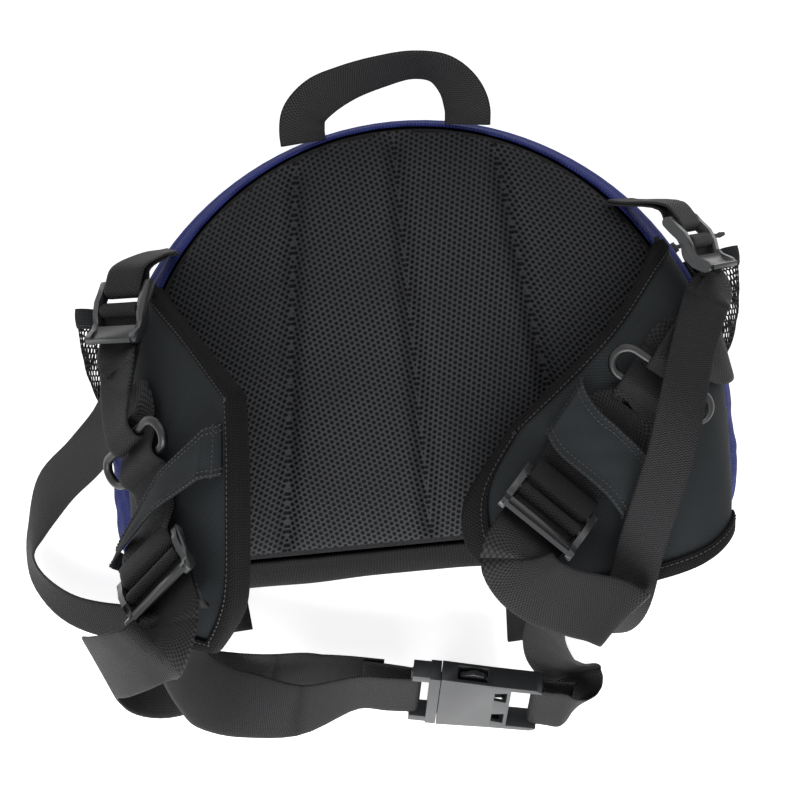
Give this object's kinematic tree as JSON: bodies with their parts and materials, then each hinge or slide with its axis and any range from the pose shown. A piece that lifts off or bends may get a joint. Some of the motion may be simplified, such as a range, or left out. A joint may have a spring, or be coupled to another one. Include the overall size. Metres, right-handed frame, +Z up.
{
  "type": "waist pack",
  "caption": "Padded waist pack on its front: mesh back up, hip wings with stabiliser straps, buckled webbing belt, grab handle and side nets.",
  "frame": {"origin": "on the floor below the centre of the back panel's arch, on the front pocket's face", "axes": "+Z up from the floor, out of the mesh back; +Y towards the grab handle; +X to the right of the back panel"},
  "size_m": [0.4189, 0.3832, 0.2199],
  "materials": {
    "blue_cloth": "woven nylon, soft sheen",
    "black_cloth": "coarse woven nylon",
    "charcoal_cloth": "woven nylon",
    "air_mesh": "knitted spacer mesh",
    "foam": "closed-cell foam",
    "sheet": "matte",
    "webbing": "ribbed webbing",
    "binding": "woven tape",
    "net": "knitted net",
    "elastic": "ribbed elastic",
    "zip_tape": "woven tape and coil",
    "plastic": "satin moulded",
    "ring_metal": "satin black"
  },
  "bodies": {
    "pack": {"gusset": "blue_cloth", "bottom_panel": "black_cloth", "front_panel": "blue_cloth", "front_pocket": "blue_cloth", "back_mesh": "air_mesh", "back_foam": "foam", "frame_sheet": "sheet", "main_zip": "zip_tape", "pocket_zip": "zip_tape", "side_net_left": "net", "side_net_right": "net", "side_rim_left": "elastic", "side_rim_right": "elastic", "anchor_tab_left": "webbing", "anchor_tab_right": "webbing", "stabiliser_strap_left": "webbing", "stabiliser_strap_right": "webbing", "waist_strap_left": "webbing", "waist_strap_right": "webbing", "buckle_female": "plastic"},
    "handle": {"grab_handle": "webbing"},
    "main_slider": {"main_slider": "plastic"},
    "main_pull": {"main_pull": "webbing"},
    "pocket_slider": {"pocket_slider": "plastic"},
    "pocket_pull": {"pocket_pull": "webbing"},
    "wing_left": {"wing_outer_left": "charcoal_cloth", "wing_foam_left": "foam", "wing_lining_left": "air_mesh", "wing_binding_left": "binding", "wing_tunnel_left": "charcoal_cloth", "load_webbing_left": "webbing", "strap_ring_left": "ring_metal"},
    "belt_lock_left": {"belt_lock_left": "plastic"},
    "stabiliser_lock_left": {"stabiliser_lock_left": "plastic"},
    "wing_right": {"wing_outer_right": "charcoal_cloth", "wing_foam_right": "foam", "wing_lining_right": "air_mesh", "wing_binding_right": "binding", "wing_tunnel_right": "charcoal_cloth", "load_webbing_right": "webbing", "strap_ring_right": "ring_metal"},
    "belt_lock_right": {"belt_lock_right": "plastic"},
    "stabiliser_lock_right": {"stabiliser_lock_right": "plastic"},
    "buckle_male": {"buckle_male": "plastic"},
    "buckle_arm_upper": {"buckle_arm_upper": "plastic"},
    "buckle_arm_lower": {"buckle_arm_lower": "plastic"}
  },
  "joints": [
    {"name": "main_zip_run", "type": "hinge", "parent": "pack", "child": "main_slider", "pos_m": [0, -0.012, 0.05], "axis": [0, 0, 1], "range_deg": [0, 114]},
    {"name": "main_pull_swing", "type": "hinge", "parent": "main_slider", "child": "main_pull", "pos_m": [0.15155, 0.07739, 0.05], "axis": [0, 0, 1], "range_deg": [-12, 90]},
    {"name": "pocket_zip_run", "type": "hinge", "parent": "pack", "child": "pocket_slider", "pos_m": [0, -0.006, 0.00875], "axis": [0, 0, 1], "range_deg": [0, 116]},
    {"name": "pocket_pull_swing", "type": "hinge", "parent": "pocket_slider", "child": "pocket_pull", "pos_m": [0.10663, 0.05913, 0.00875], "axis": [0, 0, 1], "range_deg": [-135, 12]},
    {"name": "handle_lift", "type": "hinge", "parent": "pack", "child": "handle", "pos_m": [0, 0.152, 0.1015], "axis": [1, 0, 0], "range_deg": [-5, 80], "stiffness_Nm_per_rad": 0.05},
    {"name": "wing_left_fold", "type": "hinge", "parent": "pack", "child": "wing_left", "pos_m": [-0.166, 0, 0.1005], "axis": [0, -1, 0], "range_deg": [0, 20], "stiffness_Nm_per_rad": 1.5, "deforming": ["anchor_tab_left", "stabiliser_strap_left", "waist_strap_left"]},
    {"name": "belt_lock_left_tilt", "type": "hinge", "parent": "wing_left", "child": "belt_lock_left", "pos_m": [-0.14689, -0.06475, 0.17154], "axis": [-0.7312, -0.621, -0.2823], "range_deg": [0, 25], "stiffness_Nm_per_rad": 0.05},
    {"name": "stabiliser_lock_left_tilt", "type": "hinge", "parent": "wing_left", "child": "stabiliser_lock_left", "pos_m": [-0.15136, 0.07984, 0.11665], "axis": [-0.8215, 0.0504, -0.5679], "range_deg": [0, 25], "stiffness_Nm_per_rad": 0.05},
    {"name": "wing_right_fold", "type": "hinge", "parent": "pack", "child": "wing_right", "pos_m": [0.166, 0, 0.1005], "axis": [0, 1, 0], "range_deg": [0, 25], "stiffness_Nm_per_rad": 1.5, "deforming": ["anchor_tab_right", "stabiliser_strap_right", "waist_strap_right"]},
    {"name": "belt_lock_right_tilt", "type": "hinge", "parent": "wing_right", "child": "belt_lock_right", "pos_m": [0.06722, -0.05155, 0.15978], "axis": [-0.713, 0.7011, 0.0119], "range_deg": [0, 25], "stiffness_Nm_per_rad": 0.05},
    {"name": "stabiliser_lock_right_tilt", "type": "hinge", "parent": "wing_right", "child": "stabiliser_lock_right", "pos_m": [0.15109, 0.0862, 0.1209], "axis": [-0.5161, -0.0724, 0.8535], "range_deg": [0, 25], "stiffness_Nm_per_rad": 0.05},
    {"name": "buckle_slide", "type": "slide", "parent": "pack", "child": "buckle_male", "axis": [-0.9816, 0.1908, 0], "range_m": [0, 0.035], "deforming": ["waist_strap_left", "buckle_arm_upper", "buckle_arm_lower"]},
    {"name": "buckle_upper_squeeze", "type": "hinge", "parent": "buckle_male", "child": "buckle_arm_upper", "pos_m": [0.00062, -0.15364, 0.04029], "axis": [0.1563, 0.8041, -0.5736], "range_deg": [0, 7], "stiffness_Nm_per_rad": 0.6},
    {"name": "buckle_lower_squeeze", "type": "hinge", "parent": "buckle_male", "child": "buckle_arm_lower", "pos_m": [-0.00266, -0.17053, 0.01571], "axis": [-0.1563, -0.8041, 0.5736], "range_deg": [0, 7], "stiffness_Nm_per_rad": 0.6}
  ]
}
